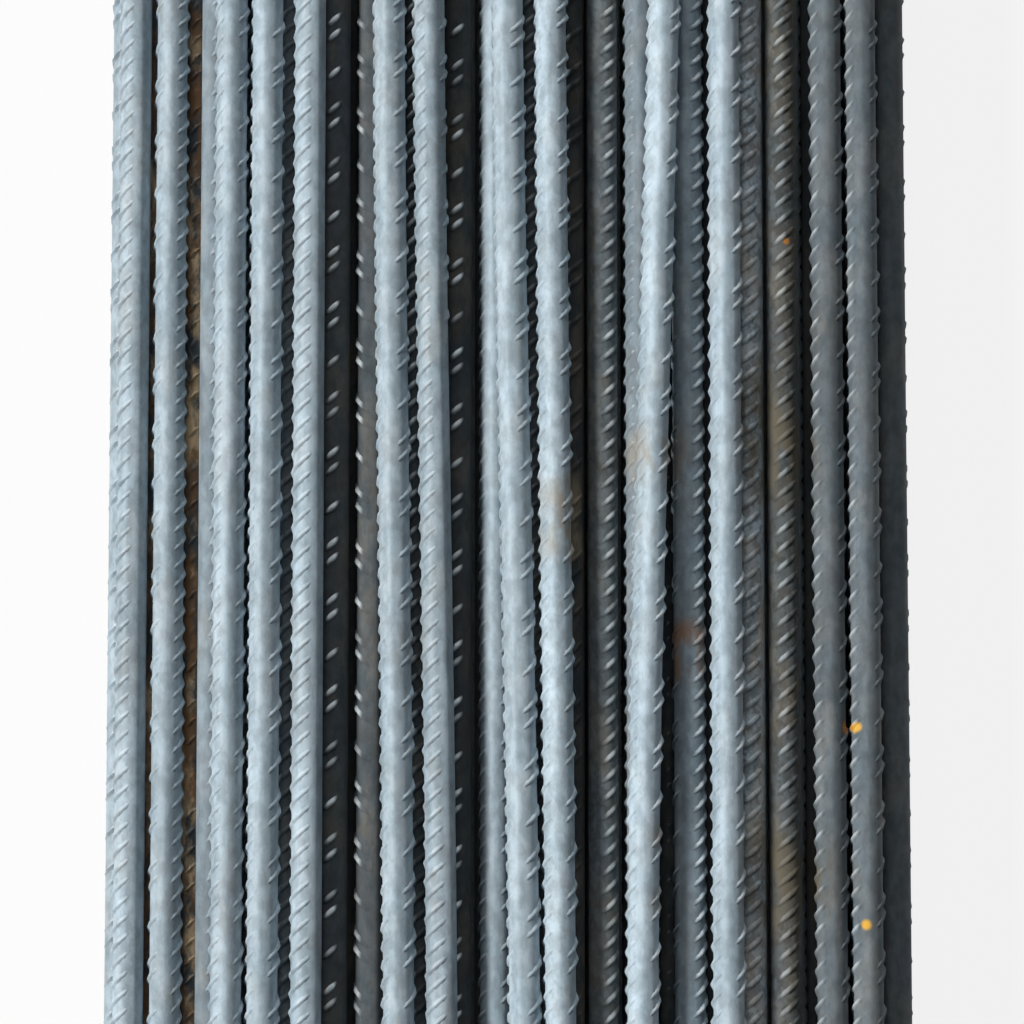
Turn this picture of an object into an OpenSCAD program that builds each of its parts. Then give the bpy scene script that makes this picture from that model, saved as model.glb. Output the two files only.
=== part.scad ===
// Tied bundle of ribbed reinforcing bars, lying on its tie wires.
// Bars run along Y, X is across the bundle and Z is up, with the floor at zero.

/* [Bars] */
// Nominal diameter of a bar
bar_d = 12; // [10:1:16]
// Height of a bar's ribs over its nominal round, which keeps neighbouring bars apart
rib_h = 0.55; // [0.4:0.05:0.8]
// Length that the bars are sold in
bar_len = 3000; // [2400:100:4000]

/* [Stack] */
// Spare width between the bars of a lower row, over their ribs
row_gap = 0.63; // [0.3:0.05:0.9]
// Half-length over which a loose bar on top bows out of its lane
bow_reach = 420; // [300:10:500]

/* [Ends] */
// Most that a bar's end stands proud of the bundle's mean end
stagger = 14; // [0:1:30]
// Tilt of a sheared end
shear_tilt = 4; // [0:0.5:8]

/* [Ties] */
// Diameter of the tie wire
wire_d = 4; // [3:0.5:6]
// Distance of the outer ties from the bundle's mean end
tie_inset = 250; // [150:10:400]
// Inside bend where a tie's ends turn into their twist
bend_r = 7; // [5:0.5:10]
// Length of one turn of a tie's twisted ends
twist_pitch = 24; // [20:1:30]
// Turns that a tie's ends make round each other
twist_turns = 2.5; // [1.5:0.5:4]

/* [Hidden] */

// Bars of the regular rows, from the floor up
row_counts = [19, 20, 21, 22];
// Places of the uneven row that beds on them, in row pitches from the middle
bed_shares = [
    -10.15, -9.17, -7.96, -6.99, -6, -4.72, -3.665, -2.49, -1.405, -0.33,
    0.7, 1.63, 2.555, 3.59, 4.87, 6.49, 7.43, 8.665, 9.615
];
// Places of the loose straight bars on top, in row pitches from the middle
top_shares = [-7.46, -6.5, -5.34, 5.84];
// Lanes of the loose bowed bars, in row pitches from the middle
bowed_shares = [-3.04, -1.93, 0.22, 1.27, 4.28];
// How far each bowed bar stands out of its lane halfway along, in row pitches
bow_shares = [0, 0, 0, 0, -0.48];
// How steeply each bowed bar leans there, sideways per length
lean_shares = [-0.015, -0.018, -0.021, -0.011, 0.0305];
// How far along each bar lies, taken in turn, as a share of the stagger
stagger_shares = [0.1, -0.55, 0.7, -0.2, 1, -0.85, 0.35, -1, 0.5, -0.4, 0.85];
// Bars are counted on by this many places in that list from one row to the next
stagger_step = 4;
// The slope of a sheared end points another way from one bar to the next
shear_turn = 137;

// Bars meet rib on rib, so their axes lie this far apart
seat_d = bar_d + 2 * rib_h;
pitch = seat_d + row_gap;
row_rise = sqrt(pow(seat_d, 2) - pow(pitch / 2, 2));
first_axis_z = wire_d + seat_d / 2;

tie_count = 4;
tie_span = bar_len - 2 * tie_inset;
// A tie's wire runs round the outer bars at this radius
wrap_r = seat_d / 2 + wire_d / 2;
// Half the distance between the two twisted ends, a little over a touch
strand_share = 0.54;
strand_r = strand_share * wire_d;

// Cuts overrun the surface that they leave by this much
over = bar_d / 2;
bar_sides = 16;
bow_steps = 40;
wire_sides = 10;
corner_step = 18;
bend_steps = 4;
turn_steps = 10;
// Corners closer than this to a straight line count as lying on it
flat_share = 0.001;
$fn = 48;

// Small helpers for directions and rings of points
function unit(v) = v / norm(v);
function across(v, way) = unit(v - way * (v * way));
function ring(d, sides) = [for (k = [0 : sides - 1]) d / 2 * [cos(360 * k / sides), sin(360 * k / sides)]];
function backward(list) = [for (i = [len(list) - 1 : -1 : 0]) list[i]];

// Where the bars lie: each place is [x, z] of a bar's axis
function row_places(row) = [
    for (i = [0 : row_counts[row] - 1])
        [(i - (row_counts[row] - 1) / 2) * pitch, first_axis_z + row * row_rise]
];
// Height at which a bar at x comes to rest on the bars below it
function rest_z(x, below) = max([
    for (b = below)
        if (abs(x - b.x) < seat_d) b.y + sqrt(pow(seat_d, 2) - pow(x - b.x, 2))
]);
function laid(shares, below) = [for (s = shares) [s * pitch, rest_z(s * pitch, below)]];

last_row = row_places(len(row_counts) - 1);
bed_places = laid(bed_shares, last_row);
under_top = concat(last_row, bed_places);
top_places = laid(top_shares, under_top);

// A bowed bar swings out of its lane and back, and climbs on what it crosses
function bowed_x(i, y) =
    let (swing = bow_shares[i] * pitch + lean_shares[i] * y)
        bowed_shares[i] * pitch + swing * exp(-pow(y / bow_reach, 2));
function bowed_place(i, y) = [bowed_x(i, y), rest_z(bowed_x(i, y), under_top)];
function bowed_line(i) = [
    for (k = [0 : bow_steps])
        let (y = bar_len * (k / bow_steps - 0.5) + stagger * stagger_shares[i], at = bowed_place(i, y))
            [at.x, y, at.y]
];
function all_places(y) = concat(
    [for (row = [0 : len(row_counts) - 1]) each row_places(row)],
    bed_places,
    top_places,
    [for (i = [0 : len(bowed_shares) - 1]) bowed_place(i, y)]
);

// Corners of the bundle's outline, clockwise from the highest bar
function highest(places) = [for (p = places) if (p.y == max([for (q = places) q.y])) p][0];
function is_outer(a, b, p) =
    let (turned = cross(b - a, p - a), flat = flat_share * pow(seat_d, 2))
        turned > flat || (abs(turned) <= flat && norm(p - a) > norm(b - a));
function better(a, best, p) = p != a && (best == a || is_outer(a, best, p)) ? p : best;
function next_corner(places, a, best, i = 0) =
    i == len(places) ? best : next_corner(places, a, better(a, best, places[i]), i + 1);
function outline(places, found) =
    let (last = found[len(found) - 1], following = next_corner(places, last, last))
        following == found[0] ? found : outline(places, concat(found, [following]));
function out_angle(a, b) = atan2(b.x - a.x, a.y - b.y);

// Part of a tie's wire round one corner bar, from the side it comes in on to the side it leaves on
function corner_arc(before, at, after) =
    let (
        from = out_angle(before, at),
        to = out_angle(at, after),
        sweep_angle = from >= to ? from - to : from - to + 360,
        steps = max(1, ceil(sweep_angle / corner_step))
    )
        [for (k = [0 : steps])
            let (a = from - sweep_angle * k / steps)
                at + wrap_r * [cos(a), sin(a)]];

// One end of a tie: it bends out of the loop along the bars and twists round the other end
function strand(side) = concat(
    [for (k = [0 : bend_steps])
        let (a = 90 * k / bend_steps)
            [side * (strand_r + bend_r * (1 - sin(a))), bend_r * (1 - cos(a)), strand_r * k / bend_steps]],
    [for (k = [1 : turn_steps * twist_turns])
        let (a = 360 * k / turn_steps, y = bend_r + twist_pitch * k / turn_steps)
            [side * strand_r * cos(a), y, strand_r * (1 + side * sin(a))]]
);
function tie_line(y) =
    let (
        loop = outline(all_places(y), [highest(all_places(y))]),
        n = len(loop),
        way = unit(loop[0] - loop[n - 1]),
        out = [-way.y, way.x],
        knot = (loop[0] + loop[n - 1]) / 2 + out * wrap_r,
        round_loop = [
            for (i = [0 : n - 1])
                each corner_arc(loop[(i + n - 1) % n], loop[i], loop[(i + 1) % n])
        ],
        ends = [for (side = [1, -1]) [
            for (p = strand(side))
                let (flat_at = knot + way * p.x + out * p.z)
                    [flat_at.x, y + p.y, flat_at.y]
        ]]
    )
        concat(backward(ends[0]), [for (p = round_loop) [p.x, y, p.y]], ends[1]);

// Solid of one section carried along a line of points
module swept(line, section, first_up) {
    n = len(line);
    sides = len(section);
    ways = [for (i = [0 : n - 1]) unit(line[min(i + 1, n - 1)] - line[max(i - 1, 0)])];
    ups = [
        for (
            i = 0, up = across(first_up, ways[0]);
            i < n;
            i = i + 1, up = across(up, ways[min(i, n - 1)])
        )
            up
    ];
    points = [
        for (i = [0 : n - 1])
            let (right = cross(ways[i], ups[i]))
                for (p = section) line[i] + right * p.x + ups[i] * p.y
    ];
    walls = [
        for (i = [0 : n - 2], k = [0 : sides - 1])
            let (a = i * sides + k, b = i * sides + (k + 1) % sides)
                each [[a, b, b + sides], [a, b + sides, a + sides]]
    ];
    near_cap = [for (k = [sides - 1 : -1 : 0]) k];
    far_cap = [for (k = [0 : sides - 1]) (n - 1) * sides + k];
    polyhedron(points, concat([near_cap], walls, [far_cap]));
}

// Cutter that leaves a sheared end: a block over the end, tilted towards a side
module end_cutter(turn) {
    block = 2 * bar_d;
    rotate([0, turn, 0])
        rotate([shear_tilt, 0, 0])
            translate([-block / 2, 0, -block / 2])
                cube(block);
}

// One straight bar along Y, sheared at both ends
module straight_bar(number) {
    difference() {
        rotate([90, 0, 0])
            cylinder(d = bar_d, h = bar_len + 2 * over, center = true);
        translate([0, bar_len / 2, 0])
            end_cutter(shear_turn * number);
        mirror([0, 1, 0])
            translate([0, bar_len / 2, 0])
                end_cutter(shear_turn * (number + 1));
    }
}

// Straight bars laid at a list of places, each one a little further in or out along the bundle
module lay_bars(places, row) {
    for (i = [0 : len(places) - 1]) {
        shift = stagger * stagger_shares[(i + row * stagger_step) % len(stagger_shares)];
        translate([places[i].x, shift, places[i].y])
            straight_bar(i + row);
    }
}

module bars_row_1() {
    color("slategray")
        lay_bars(row_places(0), 0);
}

module bars_row_2() {
    color("slategray")
        lay_bars(row_places(1), 1);
}

module bars_row_3() {
    color("slategray")
        lay_bars(row_places(2), 2);
}

module bars_row_4() {
    color("slategray")
        lay_bars(row_places(3), 3);
}

module bed_bars() {
    color("lightslategray")
        lay_bars(bed_places, len(row_counts));
}

module top_bars() {
    color("lightsteelblue")
        lay_bars(top_places, len(row_counts) + 1);
}

module bowed_bars() {
    color("lightsteelblue")
        for (i = [0 : len(bowed_shares) - 1])
            swept(bowed_line(i), ring(bar_d, bar_sides), [0, 0, 1]);
}

module wire_ties() {
    color("dimgray")
        for (k = [0 : tie_count - 1])
            swept(tie_line(tie_span * (k / (tie_count - 1) - 0.5)), ring(wire_d, wire_sides), [0, 0, 1]);
}

bars_row_1();
bars_row_2();
bars_row_3();
bars_row_4();
bed_bars();
top_bars();
bowed_bars();
wire_ties();
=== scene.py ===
import math

import bpy
import numpy as np
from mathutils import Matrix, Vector


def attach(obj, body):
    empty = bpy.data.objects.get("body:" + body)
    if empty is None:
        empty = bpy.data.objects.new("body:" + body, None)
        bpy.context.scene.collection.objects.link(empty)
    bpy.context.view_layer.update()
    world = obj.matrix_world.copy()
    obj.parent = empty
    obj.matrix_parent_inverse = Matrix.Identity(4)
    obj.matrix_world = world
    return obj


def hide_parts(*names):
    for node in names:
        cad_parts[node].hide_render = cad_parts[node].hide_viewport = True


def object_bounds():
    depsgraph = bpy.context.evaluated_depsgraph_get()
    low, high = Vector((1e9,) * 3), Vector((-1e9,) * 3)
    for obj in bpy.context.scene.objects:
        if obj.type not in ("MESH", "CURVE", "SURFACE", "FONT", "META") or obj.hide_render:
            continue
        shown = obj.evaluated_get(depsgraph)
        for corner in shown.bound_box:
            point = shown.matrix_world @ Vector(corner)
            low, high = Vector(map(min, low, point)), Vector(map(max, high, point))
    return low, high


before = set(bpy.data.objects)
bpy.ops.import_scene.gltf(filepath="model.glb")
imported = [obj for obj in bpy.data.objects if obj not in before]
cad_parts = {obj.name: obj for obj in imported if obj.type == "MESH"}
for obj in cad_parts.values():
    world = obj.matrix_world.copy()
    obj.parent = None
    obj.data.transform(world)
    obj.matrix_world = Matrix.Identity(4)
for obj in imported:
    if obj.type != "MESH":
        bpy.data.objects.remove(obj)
low_packed, high_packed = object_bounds()

# Chance that is the same in each run
rng = np.random.default_rng(12)

# Sizes here are in metres and degrees. A bar's section: its round, and the radius of its two
# lengthwise ribs with the half-widths of their top and foot
CORE_R = 0.0056
LONG_R = 0.00582
LONG_TOP = 6.0
LONG_FOOT = 19.0
ROUND_POINTS = 11

# Rings along a bar: their least spacing, which a bar that bows more than a little keeps, and the most
# twist between two on other bars, of which each counts as twisted a little
RING_STEP = 0.05
BOW_LEAST = 0.0005
RING_TWIST = 5.0
TWIST_LEAST = 0.1
# The drawn-in rim of a sheared end
RIM_LENGTH = 0.0006
RIM_SHARE = 0.94
# Points of a packed bar further apart than this along it belong to different rings
RING_GAP = 0.02

# Slanting ribs: height, half-width, reach to either side round the bar, slope, and their two spacings
RIB_H = 0.0011
RIB_HALF = 0.0016
RIB_SPAN = 68.0
RIB_SLOPE = math.tan(math.radians(37))
CLOSE_PITCH = 0.00676
GROUP_GAPS = (0.0058, 0.0149, 0.0058, 0.0133, 0.0144)
# How deep a rib's foot and its tips are sunk in the round
FOOT_SINK = 0.00006
TIP_SINK = 0.00004
# A rib along its reach: its stations, how fast it rises from its tips, and its least width, as shares
RIB_STATIONS = np.array([-0.8, -0.42, 0.0, 0.42, 0.8])
RIB_RISE = 1.2
TIP_WIDTH = 0.6
# A rib across: places, heights and how strongly its painted glint shows, as shares, for fine and for plain
# ribs; the glint is painted highlight, strongest on the flank that faces the lamp along the bars
FINE_RIB = np.array([[-1.0, -0.45, 0.0, 0.45, 1.0], [0.0, 0.78, 1.0, 0.78, 0.0], [0.0, 0.5, 1.0, 1.0, 0.5]])
PLAIN_RIB = np.array([[-1.0, 0.0, 1.0], [0.0, 1.0, 0.0], [0.0, 1.0, 0.5]])
# Least and most of each rib's height and of its shine
WORN_RANGE = (0.82, 1.06)
SHINE_RANGE = (0.35, 1.0)
# No rib stands closer to an end than this, and near an end ribs stand all round
END_CLEAR = 0.007
END_SHOWN = 0.05
# A rib's painted glint fades out this far from the direction in which the bar's glints are painted
# brightest
GLINT_SPREAD = 26.0


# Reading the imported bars
def islands(name):
    """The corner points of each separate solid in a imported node."""
    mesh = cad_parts[name].data
    co = np.empty(len(mesh.vertices) * 3)
    mesh.vertices.foreach_get("co", co)
    mesh.calc_loop_triangles()
    tri = np.empty(len(mesh.loop_triangles) * 3, np.int64)
    mesh.loop_triangles.foreach_get("vertices", tri)
    points, place = np.unique(np.round(co.reshape(-1, 3), 6), axis=0, return_inverse=True)
    tri = place.ravel()[tri].reshape(-1, 3)
    label = np.arange(len(points))
    while True:
        new = label.copy()
        np.minimum.at(new, tri.ravel(), np.repeat(label[tri].min(1), 3))
        new = new[new]
        if (new == label).all():
            break
        label = new
    return [points[label == n] for n in np.unique(label)]


def read_bar(points):
    """A bar's axis as rows of x, y, z, and the plane of each end as (y, slope in x, slope in z)."""
    order = np.argsort(points[:, 1])
    cuts = np.nonzero(np.diff(points[order, 1]) > RING_GAP)[0] + 1
    rings = [points[i] for i in np.split(order, cuts)]
    axis, ends = [], []
    for ring in rings:
        fit = np.linalg.lstsq(
            np.c_[ring[:, 0], ring[:, 2], np.ones(len(ring))],
            ring[:, 0] ** 2 + ring[:, 2] ** 2, rcond=None)[0]
        x, z = fit[0] / 2, fit[1] / 2
        axis.append((x, ring[:, 1].mean(), z))
        if ring is rings[0] or ring is rings[-1]:
            ends.append(np.linalg.lstsq(
                np.c_[np.ones(len(ring)), ring[:, 0] - x, ring[:, 2] - z], ring[:, 1], rcond=None)[0])
    return np.array(axis), ends


def bars_of(name):
    """A node's bars from left to right."""
    bars = [read_bar(p) for p in islands(name)]
    return sorted(bars, key=lambda bar: bar[0][:, 0].mean())


# Building ribbed bars
class Build:
    """Points, faces and per-point values of one joined mesh."""

    def __init__(self):
        self.count = 0
        self.co, self.corners, self.sizes, self.mats = [], [], [], []
        self.values = {key: [] for key in ("tone", "rust", "dust", "crest", "away")}

    def add(self, co, kinds, look, crest=0.0, away=180.0, mat=0):
        """Add points with their values, and faces in arrays of one corner count each."""
        for faces in kinds:
            self.corners.append((faces + self.count).ravel())
            self.sizes.append(np.full(len(faces), faces.shape[1]))
            self.mats.append(np.full(len(faces), mat))
        here = {key: look[key] for key in ("tone", "rust", "dust")}
        here.update(crest=crest, away=away)
        for key, value in here.items():
            self.values[key].append(np.broadcast_to(value, len(co)))
        self.co.append(co)
        self.count += len(co)

    def object(self, name, materials, smooth_angle=58):
        mesh = bpy.data.meshes.new(name)
        co = np.concatenate(self.co)
        corners = np.concatenate(self.corners)
        sizes = np.concatenate(self.sizes)
        starts = np.concatenate([[0], np.cumsum(sizes)[:-1]])
        mesh.vertices.add(len(co))
        mesh.vertices.foreach_set("co", co.astype(np.float32).ravel())
        mesh.loops.add(len(corners))
        mesh.loops.foreach_set("vertex_index", corners.astype(np.int32))
        mesh.polygons.add(len(sizes))
        mesh.polygons.foreach_set("loop_start", starts.astype(np.int32))
        for material in materials:
            mesh.materials.append(material)
        mesh.polygons.foreach_set("material_index", np.concatenate(self.mats).astype(np.int32))
        mesh.update(calc_edges=True)
        mesh.validate()
        for key, values in self.values.items():
            layer = mesh.attributes.new(key, "FLOAT", "POINT")
            layer.data.foreach_set("value", np.concatenate(values).astype(np.float32))
        mesh.shade_smooth()
        mesh.set_sharp_from_angle(angle=math.radians(smooth_angle))
        obj = bpy.data.objects.new(name, mesh)
        bpy.context.scene.collection.objects.link(obj)
        return obj


def on_bar(axis, angle, r, y):
    """Points at an angle in radians, a radius and a distance along a bar."""
    return np.stack([
        np.interp(y, axis[:, 1], axis[:, 0]) + r * np.cos(angle), y,
        np.interp(y, axis[:, 1], axis[:, 2]) + r * np.sin(angle)], -1)


def turned(look, y):
    """Direction of a bar's first lengthwise rib, in radians."""
    return np.radians(look["roll"] + look["twist"] * y)


def section():
    """Angles in radians and radii of a bar's section, with its two lengthwise ribs."""
    half = [(-LONG_TOP, LONG_R), (LONG_TOP, LONG_R)]
    half += [(a, CORE_R) for a in np.linspace(LONG_FOOT, 180 - LONG_FOOT, ROUND_POINTS)]
    ring = half + [(a + 180, r) for a, r in half]
    return np.radians([a for a, r in ring]), np.array([r for a, r in ring])


def add_round(build, bar, look):
    """A bar's round with lengthwise ribs, ring by ring, drawn in a little at its two sheared ends."""
    axis, ends = bar
    first, last = axis[0, 1], axis[-1, 1]
    ang, rad = section()
    n = len(ang)
    step = RING_STEP
    if np.ptp(axis[:, 0]) <= BOW_LEAST:
        step = max(RING_STEP, RING_TWIST / max(abs(look["twist"]), TWIST_LEAST))
    inner = np.linspace(first, last, 2 + int((last - first) / step))[1:-1]
    ys = np.concatenate([[first, first + RIM_LENGTH], inner, [last - RIM_LENGTH, last]])
    rings = []
    for i, y in enumerate(ys):
        share = RIM_SHARE if i in (0, len(ys) - 1) else 1.0
        ring = on_bar(axis, ang + turned(look, y), rad * share, np.full(n, y))
        if i < 2 or i > len(ys) - 3:
            plane = ends[0 if i < 2 else 1]
            centre = on_bar(axis, 0.0, 0.0, np.array(y))
            ring[:, 1] += plane[1] * (ring[:, 0] - centre[0]) + plane[2] * (ring[:, 2] - centre[2])
        rings.append(ring)
    rows = np.arange(len(ys) - 1)[:, None] * n
    k = np.arange(n)
    k2 = (k + 1) % n
    walls = np.stack([rows + k, rows + k2, rows + k2 + n, rows + k + n], -1).reshape(-1, 4)
    build.add(np.concatenate(rings), [walls], look)
    fan = np.stack([np.full(n, n), k, k2], -1)
    for ring, y, faces in ((rings[0], first, fan), (rings[-1], last, fan[:, ::-1])):
        centre = on_bar(axis, 0.0, 0.0, np.array(y))[None]
        build.add(np.concatenate([ring, centre]), [faces], look, mat=1)


def rib_places(first, last, phase):
    """Where ribs stand along a bar: a close even row on one side, pairs and singles on the other."""
    close = np.arange(first + phase * CLOSE_PITCH, last, CLOSE_PITCH)
    period = sum(GROUP_GAPS)
    starts = np.arange(first - phase * period, last, period)
    grouped = (starts[:, None] + np.cumsum(GROUP_GAPS)).ravel()
    return close, grouped


def add_rib_row(build, axis, look, along, side, detail):
    """Slanting ribs at places along one side of a bar, each a ridge that runs out into two tips."""
    t = RIB_STATIONS if detail else RIB_STATIONS[::2]
    across, up, glint_share = FINE_RIB if detail == 2 else PLAIN_RIB
    tip = np.array([-1.0, 1.0])
    m, s, q = len(along), len(t), len(across)
    outward = math.pi * (side + 0.5)
    span = math.radians(RIB_SPAN) * look["span"]
    lean = look["lean"][side] * RIB_SLOPE * span * CORE_R
    high = RIB_H * look["height"] * (1 - t ** 2) ** RIB_RISE
    wide = RIB_HALF * (TIP_WIDTH + (1 - TIP_WIDTH) * (1 - t ** 2))
    worn = rng.uniform(*WORN_RANGE, m)
    shine = rng.uniform(*SHINE_RANGE, m)

    # Points of each ridge, station by station, and then its two tips
    y = along[:, None, None] + lean * t[:, None] + wide[:, None] * across
    theta = turned(look, y) + outward + span * t[:, None]
    r = CORE_R - FOOT_SINK + (high[:, None] + FOOT_SINK) * up * worn[:, None, None]
    y_tip = along[:, None] + lean * tip
    tips = on_bar(axis, turned(look, y_tip) + outward + span * tip, CORE_R - TIP_SINK, y_tip)
    co = np.concatenate([on_bar(axis, theta, r, y).reshape(m, s * q, 3), tips], 1)

    # Faces of one ridge, repeated from each ridge's first point on
    start = (np.arange(m) * (s * q + 2))[:, None, None]
    cell = np.arange(s - 1)[:, None] * q + np.arange(q - 1)
    quads = np.stack([cell + 1, cell + q + 1, cell + q, cell], -1).reshape(-1, 4)
    near = np.arange(q - 1)
    far = (s - 1) * q + near
    tris = np.concatenate([
        np.stack([np.full(q - 1, s * q), near + 1, near], -1),
        np.stack([np.full(q - 1, s * q + 1), far, far + 1], -1)])

    # How bright the painted glint and wear are at each point, and the point's angle from the direction in
    # which the bar's glints are painted brightest
    middle = (turned(look, along) + outward)[:, None]
    off = (np.degrees(middle) - look["glint"] + 180) % 360 - 180
    away = np.concatenate([
        off + np.degrees(theta.reshape(m, s * q) - middle),
        off + np.degrees(span) * tip], 1)
    crest = np.pad(look["shine"] * shine[:, None] * np.tile(glint_share, s), ((0, 0), (0, 2)))
    build.add(
        co.reshape(-1, 3), [(quads + start).reshape(-1, 4), (tris + start).reshape(-1, 3)], look,
        crest.ravel(), away.ravel())


def add_bar(build, bar, look, seen=None, detail=2):
    """One bar, with slanting ribs near its ends and on the sides that a test calls seen.

    Ribs are fine at detail 2, plainer at 1 and 0, and left out where there is no test.
    """
    add_round(build, bar, look)
    if seen is None:
        return
    axis = bar[0]
    first, last = axis[0, 1], axis[-1, 1]
    for side, along in enumerate(rib_places(first, last, look["phase"])):
        along = along[(along > first + END_CLEAR) & (along < last - END_CLEAR)]
        facing = turned(look, along) + math.pi * side + math.pi / 2
        near_end = (along < first + END_SHOWN) | (along > last - END_SHOWN)
        along = along[near_end | seen(np.cos(facing), np.sin(facing))]
        if len(along):
            add_rib_row(build, axis, look, along, side, detail)


# Materials
class Net:
    """Short ways to add shader nodes."""

    def __init__(self, tree):
        self.tree = tree
        self.coord = None

    def node(self, kind, **settings):
        made = self.tree.nodes.new(kind)
        for key, value in settings.items():
            setattr(made, key, value)
        return made

    def link(self, a, b):
        self.tree.links.new(a, b)

    def value(self, socket, x):
        """Link an output to a socket, or set a number or colour on it."""
        if hasattr(x, "is_output"):
            self.link(x, socket)
        elif isinstance(x, tuple):
            socket.default_value = (*x, 1.0)
        else:
            socket.default_value = x

    def place(self):
        """A point's place on its object."""
        if self.coord is None:
            self.coord = self.node("ShaderNodeTexCoord").outputs["Object"]
        return self.coord

    def noise(self, scale, stretch=(1, 1, 1), detail=3.0, rough=0.55, shift=(0, 0, 0)):
        mapping = self.node("ShaderNodeMapping")
        mapping.inputs["Scale"].default_value = stretch
        mapping.inputs["Location"].default_value = shift
        self.link(self.place(), mapping.inputs["Vector"])
        made = self.node("ShaderNodeTexNoise")
        made.inputs["Scale"].default_value = scale
        made.inputs["Detail"].default_value = detail
        made.inputs["Roughness"].default_value = rough
        self.link(mapping.outputs["Vector"], made.inputs["Vector"])
        return made.outputs["Fac"]

    def ramp(self, x, low, high, to_low=0.0, to_high=1.0):
        made = self.node("ShaderNodeMapRange", interpolation_type="SMOOTHSTEP")
        made.inputs["From Min"].default_value = low
        made.inputs["From Max"].default_value = high
        made.inputs["To Min"].default_value = to_low
        made.inputs["To Max"].default_value = to_high
        self.value(made.inputs["Value"], x)
        return made.outputs["Result"]

    def math(self, how, a, b=0.0):
        made = self.node("ShaderNodeMath", operation=how)
        self.value(made.inputs[0], a)
        self.value(made.inputs[1], b)
        return made.outputs[0]

    def mix(self, fac, a, b, how="MIX"):
        made = self.node("ShaderNodeMix", data_type="RGBA", blend_type=how)
        self.value(made.inputs["Factor"], fac)
        self.value(made.inputs["A"], a)
        self.value(made.inputs["B"], b)
        return made.outputs["Result"]

    def attribute(self, name):
        return self.node("ShaderNodeAttribute", attribute_name=name).outputs["Fac"]

    def near(self, place, reach):
        """1 at a place, falling to 0 at its reach."""
        made = self.node("ShaderNodeVectorMath", operation="DISTANCE")
        self.link(self.place(), made.inputs[0])
        made.inputs[1].default_value = place
        return self.ramp(made.outputs["Value"], reach, reach * 0.35)

    def bump(self, height, strength, distance):
        made = self.node("ShaderNodeBump")
        made.inputs["Strength"].default_value = strength
        made.inputs["Distance"].default_value = distance
        self.link(height, made.inputs["Height"])
        return made.outputs["Normal"]


def new_material(name):
    mat = bpy.data.materials.new(name)
    mat.use_nodes = True
    return mat, Net(mat.node_tree), mat.node_tree.nodes["Principled BSDF"]


# Colours of the bars: mill scale, dirt, worn ribs lightened with a painted highlight, and rust
SCALE_DARK = (0.295, 0.375, 0.432)
SCALE_LIGHT = (0.40, 0.49, 0.555)
SCALE_CLOUD = (0.21, 0.265, 0.305)
DUST = (0.085, 0.084, 0.068)
SPECK = (0.035, 0.035, 0.03)
WEAR_AND_GLINT = (0.82, 0.90, 0.94)
RUST_DARK = (0.34, 0.20, 0.11)
# Pale rust patches, made pale enough to show on rusty bars that lie deep in shade: partly painted light
RUST_LIGHT = (1.0, 0.76, 0.48)

# Dust, rust and paint spots that the photograph shows: place, reach, strength and colour;
# spots of a smaller reach than a fleck's are whole, the others patchy
FLECK_REACH = 0.005
TAN = (0.30, 0.25, 0.18)
DIM_TAN = (0.115, 0.10, 0.07)
RED = (0.36, 0.21, 0.13)
GOLD = (0.66, 0.38, 0.06)
ORANGE = (0.40, 0.17, 0.04)
SPOTS = [
    ((0.097, 0.022, 0.055), 0.026, 0.8, DIM_TAN),
    ((0.090, 0.040, 0.055), 0.022, 0.7, DIM_TAN),
    ((0.101, -0.133, 0.055), 0.028, 0.8, DIM_TAN),
    ((0.055, 0.022, 0.066), 0.018, 0.7, TAN),
    ((0.0540, -0.118, 0.068), 0.010, 0.7, TAN),
    ((0.0535, -0.140, 0.068), 0.010, 0.7, TAN),
    ((0.0215, 0.006, 0.068), 0.014, 0.8, TAN),
    ((0.0215, -0.010, 0.068), 0.014, 0.8, TAN),
    ((0.0655, -0.045, 0.058), 0.010, 0.9, RED),
    ((0.0655, -0.056, 0.058), 0.009, 0.9, RED),
    ((0.1266, -0.0787, 0.0605), 0.0026, 1.0, GOLD),
    ((0.1282, -0.0780, 0.0615), 0.0024, 0.9, GOLD),
    ((0.1246, -0.0783, 0.0595), 0.0030, 1.0, ORANGE),
    ((0.1308, -0.150, 0.0625), 0.0026, 1.0, GOLD),
    ((0.1033, 0.1018, 0.0625), 0.0017, 1.0, ORANGE),
]


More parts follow.
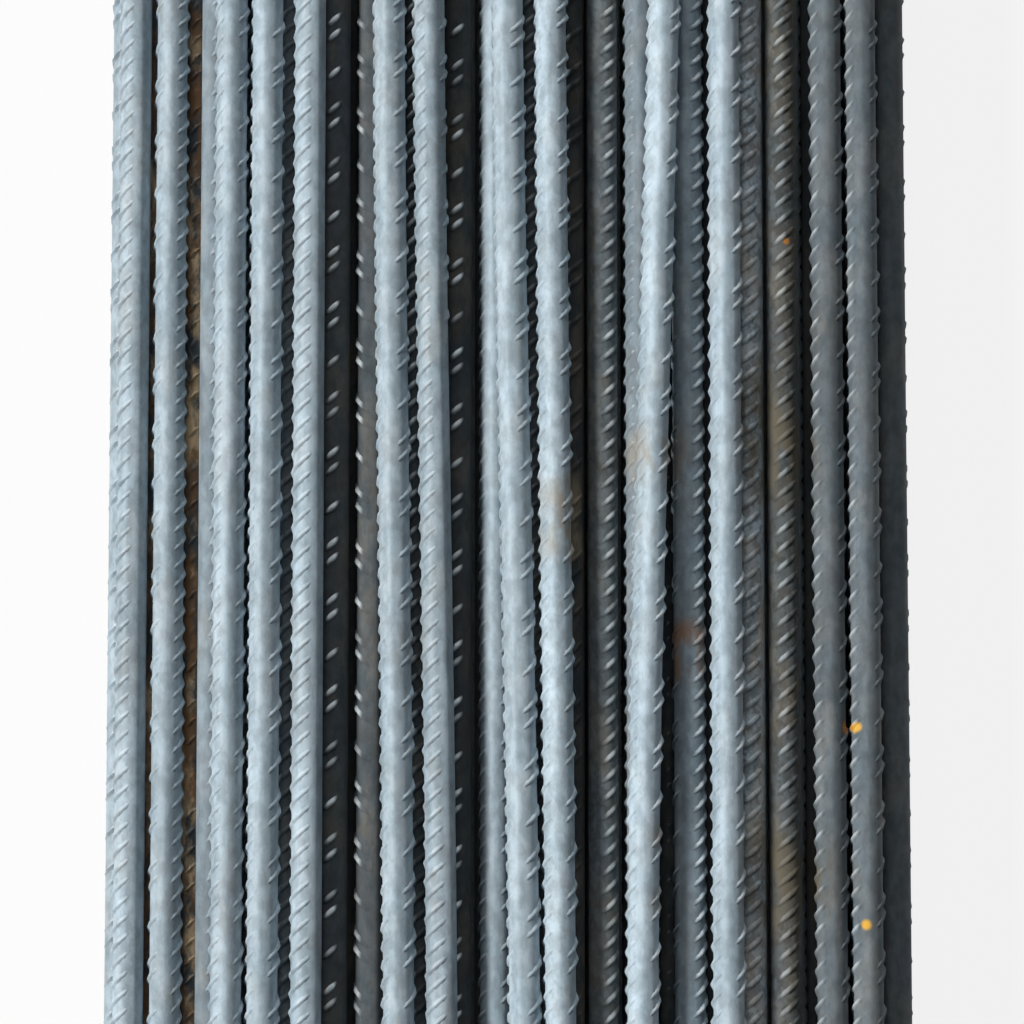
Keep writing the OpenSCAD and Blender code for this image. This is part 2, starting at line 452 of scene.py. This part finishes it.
def bar_steel():
    mat, net, shader = new_material("bar_steel")
    tone, rust, dusty = net.attribute("tone"), net.attribute("rust"), net.attribute("dust")
    away = net.math("ABSOLUTE", net.attribute("away"))
    crest = net.math("MULTIPLY", net.attribute("crest"), net.ramp(away, GLINT_SPREAD, GLINT_SPREAD * 0.2))
    streak = net.noise(160, (1, 0.16, 1), 4.0)
    cloud = net.noise(28, (1, 0.35, 1), 4.0, shift=(3, 1, 2))
    mottle = net.noise(240, (1, 0.6, 1), 3.0, 0.6, (5, 3, 8))
    grain = net.noise(900, (1, 0.6, 1), 2.0)
    dirt = net.noise(55, (1, 0.5, 1), 5.0, 0.65, (7, 2, 5))
    speck = net.noise(330, (1, 0.7, 1), 2.0, 0.6, (6, 1, 3))
    patch = net.noise(120, (1, 0.45, 1), 5.0, 0.65, (1, 9, 4))

    # Mill scale in each bar's tone, which is partly painted shade and painted light, then dust and specks,
    # worn ribs with painted glints, rust and spots over it
    color = net.mix(net.ramp(streak, 0.32, 0.68), SCALE_DARK, SCALE_LIGHT)
    color = net.mix(net.ramp(cloud, 0.55, 0.72, 0.0, 0.4), color, SCALE_CLOUD)
    color = net.mix(1.0, color, net.ramp(mottle, 0.34, 0.66, 0.84, 1.14), "MULTIPLY")
    color = net.mix(1.0, color, tone, "MULTIPLY")
    color = net.mix(net.math("MULTIPLY", net.ramp(dirt, 0.38, 0.66, 0.25, 1.0), dusty), color, DUST)
    color = net.mix(net.math("MULTIPLY", net.ramp(speck, 0.45, 0.58), dusty), color, SPECK)
    # Painted highlight: rib crests are lightened where glints are painted on them
    color = net.mix(net.math("MULTIPLY", crest, 0.9), color, WEAR_AND_GLINT)
    rusty = net.mix(net.ramp(dirt, 0.45, 0.62), RUST_DARK, RUST_LIGHT)
    color = net.mix(net.math("MULTIPLY", net.ramp(patch, 0.38, 0.58), rust), color, rusty)
    for place, reach, strength, shade in SPOTS:
        cover = strength if reach < FLECK_REACH else net.ramp(patch, 0.34, 0.56, 0.0, strength)
        color = net.mix(net.math("MULTIPLY", net.near(place, reach), cover), color, shade)
    net.link(color, shader.inputs["Base Color"])

    # Dark bars are duller, and ribs are smoother where glints are painted on them
    dull = net.math("ADD", net.ramp(streak, 0.3, 0.7, 0.46, 0.62), net.ramp(tone, 0.8, 0.2, 0.0, 0.3))
    net.link(net.math("SUBTRACT", dull, net.math("MULTIPLY", crest, 0.35)), shader.inputs["Roughness"])
    shader.inputs["Metallic"].default_value = 0.03
    shader.inputs["Specular IOR Level"].default_value = 0.1
    net.link(net.bump(grain, 0.25, 0.0002), shader.inputs["Normal"])
    return mat


def sheared_steel():
    mat, net, shader = new_material("sheared_end")
    streak = net.noise(420, (1, 1, 0.2), 4.0)
    blot = net.noise(150, (1, 1, 1), 4.0, shift=(4, 4, 1))
    color = net.mix(net.ramp(streak, 0.35, 0.65), (0.30, 0.30, 0.30), (0.52, 0.52, 0.51))
    color = net.mix(net.ramp(blot, 0.48, 0.66, 0.0, 0.75), color, (0.27, 0.15, 0.08))
    net.link(color, shader.inputs["Base Color"])
    shader.inputs["Metallic"].default_value = 0.4
    net.link(net.ramp(streak, 0.3, 0.7, 0.4, 0.65), shader.inputs["Roughness"])
    net.link(net.bump(streak, 0.4, 0.0003), shader.inputs["Normal"])
    return mat


def tie_wire():
    mat, net, shader = new_material("tie_wire")
    patch = net.noise(90, (1, 1, 1), 4.0)
    fleck = net.noise(500, (1, 1, 1), 3.0, shift=(2, 2, 2))
    color = net.mix(net.ramp(patch, 0.35, 0.65), (0.075, 0.075, 0.078), (0.17, 0.165, 0.16))
    color = net.mix(net.ramp(fleck, 0.56, 0.72, 0.0, 0.6), color, (0.21, 0.11, 0.055))
    net.link(color, shader.inputs["Base Color"])
    shader.inputs["Metallic"].default_value = 0.3
    net.link(net.ramp(patch, 0.3, 0.7, 0.42, 0.62), shader.inputs["Roughness"])
    net.link(net.bump(fleck, 0.2, 0.0002), shader.inputs["Normal"])
    return mat


STEEL, SHEARED, WIRE = bar_steel(), sheared_steel(), tie_wire()


# The bars
def look_for(roll=None, twist=None, tone=None, dust=0.05, shine=0.3, glint=105, height=1.0, span=1.0):
    """How a bar looks, with chance in what isn't given."""
    return {
        "roll": rng.uniform(0, 360) if roll is None else roll,
        "twist": rng.uniform(-60, 60) if twist is None else twist,
        "tone": rng.uniform(0.6, 0.9) if tone is None else tone,
        "dust": dust,
        "shine": shine,
        "glint": glint,
        "height": height,
        "span": span,
        "rust": 0.05,
        "phase": rng.uniform(0, 1),
        "lean": (-1, -1),
    }


# Bars from left to right: direction of a lengthwise rib (90 is up), twist per metre, tone, dust,
# how bright the glints painted on the slanting ribs are, the direction in which they are painted brightest,
# and the shares of their height and span that dirt leaves uncovered. A tone is partly each bar's own and
# partly painted: low tones are painted shade on bars that lie in their neighbours' shade, and tones above 1
# are painted light, lightening a bar in a neighbour's shadow and the lit tops of some upper bars
BED_LOOKS = [
    (60, 20, 1.0, 0.1),
    (268, 8, 0.95, 0.05),
    (130, 10, 0.62, 0.05),
    (40, -20, 0.3, 0.1, 1, 118),
    (20, 40, 0.35, 0.1, 1, 118),
    (180, -10, 0.2, 0.1, 1.7, 90, 0.8, 0.5),
    (250, 10, 0.2, 0.1, 0.6, 145),
    (10, 60, 0.2, 0.1, 1),
    (180, -20, 0.12, 0.1, 1.2, 85, 0.8, 0.5),
    (100, 15, 0.9, 0.03),
    (30, 30, 0.25, 0.1),
    (180, -40, 0.1, 0.1, 1),
    (325, 10, 0.37, 0.35, 0.45, 65, 0.8, 0.7),
    (90, 20, 0.52, 0.05, 1),
    (288, 5, 0.85, 0.1, 1.0, 52),
    # Painted light: this bar lies in the shadow of the upper bar beside it, and a tone above 1 lightens it
    (355, 10, 1.6, 0.45, 0.6, 90, 0.7, 0.6),
    (355, 5, 0.22, 0.5, 0.3, 100, 0.8, 0.8),
    (90, 10, 0.32, 0.05, 0.4, 150),
    (90, 10, 0.35, 0.05, 0.4, 150),
]
TOP_LOOKS = [
    (85, 12, 1.0, 0.05),
    (95, 10, 1.0, 0.03),
    (50, 20, 1.0, 0.05),
    (95, 10, 1.0, 0.03, 1, 35),
]
BOWED_LOOKS = [
    (100, 20, 0.95, 0.05),
    (60, 90, 0.9, 0.1),
    (110, 14, 1.0, 0.03),
    (95, 20, 1.15, 0.1),
    (95, 15, 1.12, 0.05, 1, 35),
]
# Pieces of the bed, each with its first bar and the bar after its last
BED_PIECES = (("left", 0, 7), ("middle", 7, 13), ("right", 13, 19))
# The bed bar whose ribs slant the other way, and the rusty one
COUNTER_BAR = 6
RUSTY_BAR = 15

# The regular rows by number from the floor up; most bars of the highest are darkened, as painted shade deep
# between the bars above
ROWS = (1, 2, 3, 4)
SHADE_SHARE = 0.25
EDGE_SHADE_SHARE = 0.4

# A side shows where its outward direction leans less than this the other way
SIDE_LIMIT = 0.4


def upward(nx, nz):
    return nz > -SIDE_LIMIT


def downward(nx, nz):
    return nz < SIDE_LIMIT


def leftward(nx, nz):
    return nx < SIDE_LIMIT


def rightward(nx, nz):
    return nx > -SIDE_LIMIT


def put_in_place(build, name, node):
    """Make a build's object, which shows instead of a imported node."""
    obj = build.object(name, [STEEL, SHEARED])
    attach(obj, "root")
    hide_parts(node)


def dressed(name, bars, looks, node):
    """Bars of the upper layers, with fine ribs."""
    build = Build()
    for bar, look in zip(bars, looks):
        add_bar(build, bar, look, upward)
    put_in_place(build, name, node)


def row_looks(row, count):
    """Looks of a row's bars, with painted shade and rust on the highest row."""
    looks = [look_for() for _ in range(count)]
    if row == ROWS[-1]:
        # Painted shade: the highest row shows only deep between the bars above, so its bars are darkened
        for look in looks[1:-1]:
            look["tone"] *= SHADE_SHARE
        looks[-1]["tone"] *= EDGE_SHADE_SHARE
        looks[1].update(rust=0.9, tone=0.3, roll=10, twist=15)
        looks[2].update(rust=1.0, tone=0.3, roll=10, twist=15)
    return looks


def row_ribs(row, i, count):
    """The test for the sides on which a row's bar gets ribs, and their detail."""
    if i == 0:
        return leftward, 1
    if i == count - 1:
        return rightward, 1
    if row == ROWS[0]:
        return downward, 0
    if row == ROWS[-1]:
        return upward, 0
    return None, 0


bed = bars_of("bed_bars")
bed_looks = [look_for(*row) for row in BED_LOOKS]
bed_looks[COUNTER_BAR]["lean"] = (1, 1)
bed_looks[RUSTY_BAR]["rust"] = 0.25
for name, start, stop in BED_PIECES:
    dressed(f"bed_bars_{name}", bed[start:stop], bed_looks[start:stop], "bed_bars")
dressed("top_bars_ribbed", bars_of("top_bars"), [look_for(*row) for row in TOP_LOOKS], "top_bars")
dressed("bowed_bars_ribbed", bars_of("bowed_bars"), [look_for(*row) for row in BOWED_LOOKS], "bowed_bars")

for row in ROWS:
    node = f"bars_row_{row}"
    bars = bars_of(node)
    looks = row_looks(row, len(bars))
    build = Build()
    for i, (bar, look) in enumerate(zip(bars, looks)):
        seen, detail = row_ribs(row, i, len(bars))
        if seen is None:
            look["twist"] = 0.0
        add_bar(build, bar, look, seen, detail)
    put_in_place(build, f"row_{row}_bars", node)

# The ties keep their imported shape
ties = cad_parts["wire_ties"]
ties.data.materials.clear()
ties.data.materials.append(WIRE)
ties.data.shade_smooth()

# Floor and surroundings
FLOOR_REACH = 40.0
FLOOR_GREY = (0.78, 0.78, 0.78)
FLOOR_WHITE = 0.85
SKY_COLOR = (0.95, 0.97, 1.0)
SKY_STRENGTH = 0.045
WHITE = (1.0, 1.0, 1.0)


def whitened(net, plain, white, share):
    """Plain, with a share of white in what the camera sees directly, mirrored or through glass."""
    path = net.node("ShaderNodeLightPath").outputs
    seen = net.math("MAXIMUM", path["Is Camera Ray"], path["Is Glossy Ray"])
    seen = net.math("MAXIMUM", seen, path["Is Transmission Ray"])
    blend = net.node("ShaderNodeMixShader")
    net.link(net.math("MULTIPLY", seen, share), blend.inputs["Fac"])
    net.link(plain.outputs[0], blend.inputs[1])
    net.link(white.outputs[0], blend.inputs[2])
    return blend.outputs[0]


scene = bpy.context.scene
floor_mat = bpy.data.materials.new("floor")
floor_mat.use_nodes = True
floor_mat.node_tree.nodes.clear()
net = Net(floor_mat.node_tree)
matt = net.node("ShaderNodeBsdfDiffuse")
net.value(matt.inputs["Color"], FLOOR_GREY)
glow = net.node("ShaderNodeEmission")
net.value(glow.inputs["Color"], WHITE)
net.value(glow.inputs["Strength"], 1.0)
net.link(whitened(net, matt, glow, FLOOR_WHITE), net.node("ShaderNodeOutputMaterial").inputs["Surface"])

floor_mesh = bpy.data.meshes.new("floor")
corners = [(x * FLOOR_REACH, y * FLOOR_REACH, 0) for x, y in ((-1, -1), (1, -1), (1, 1), (-1, 1))]
floor_mesh.from_pydata(corners, [], [(0, 1, 2, 3)])
floor_mesh.materials.append(floor_mat)
floor = bpy.data.objects.new("floor", floor_mesh)
scene.collection.objects.link(floor)

world = bpy.data.worlds.new("studio")
scene.world = world
world.use_nodes = True
net = Net(world.node_tree)
sky = world.node_tree.nodes["Background"]
net.value(sky.inputs["Color"], SKY_COLOR)
net.value(sky.inputs["Strength"], SKY_STRENGTH)
blank = net.node("ShaderNodeBackground")
net.value(blank.inputs["Color"], WHITE)
net.value(blank.inputs["Strength"], 1.0)
net.link(whitened(net, sky, blank, 1.0), world.node_tree.nodes["World Output"].inputs["Surface"])


# Light from the left, and a weaker one along the bars that brings out their ribs
def sun(name, toward, strength, angle, color=WHITE):
    data = bpy.data.lights.new(name, "SUN")
    data.energy = strength
    data.angle = math.radians(angle)
    data.color = color
    obj = bpy.data.objects.new(name, data)
    obj.rotation_mode = "QUATERNION"
    obj.rotation_quaternion = Vector(toward).to_track_quat("-Z", "Y")
    scene.collection.objects.link(obj)


sun("key", toward=(0.765, -0.14, -0.63), strength=4.1, angle=14, color=(1.0, 0.99, 0.97))
sun("rake", toward=(0.0, -0.90, -0.43), strength=1.1, angle=20)

# The camera looks down on the bundle from a little towards its near end. The scale holds this
# deep under the highest point, and the picture's middle lies a few pixels right of the bundle's
PIXELS = 1024
PIXELS_PER_METRE = 2750
SCALE_DEPTH = 0.008
RIGHT_PIXELS = 4
DISTANCE = 1.0
TILT = math.radians(4.0)
SENSOR = 36.0
target = Vector((RIGHT_PIXELS / PIXELS_PER_METRE, 0, high_packed.z - SCALE_DEPTH))
camera = bpy.data.objects.new("camera", bpy.data.cameras.new("camera"))
camera.location = target + DISTANCE * Vector((0, -math.sin(TILT), math.cos(TILT)))
camera.rotation_mode = "QUATERNION"
camera.rotation_quaternion = (target - camera.location).to_track_quat("-Z", "Y")
camera.data.sensor_width = SENSOR
camera.data.lens = SENSOR * DISTANCE * PIXELS_PER_METRE / PIXELS
camera.data.clip_start = 0.01
camera.data.clip_end = 200
scene.collection.objects.link(camera)
scene.camera = camera
scene.view_settings.view_transform = "Standard"
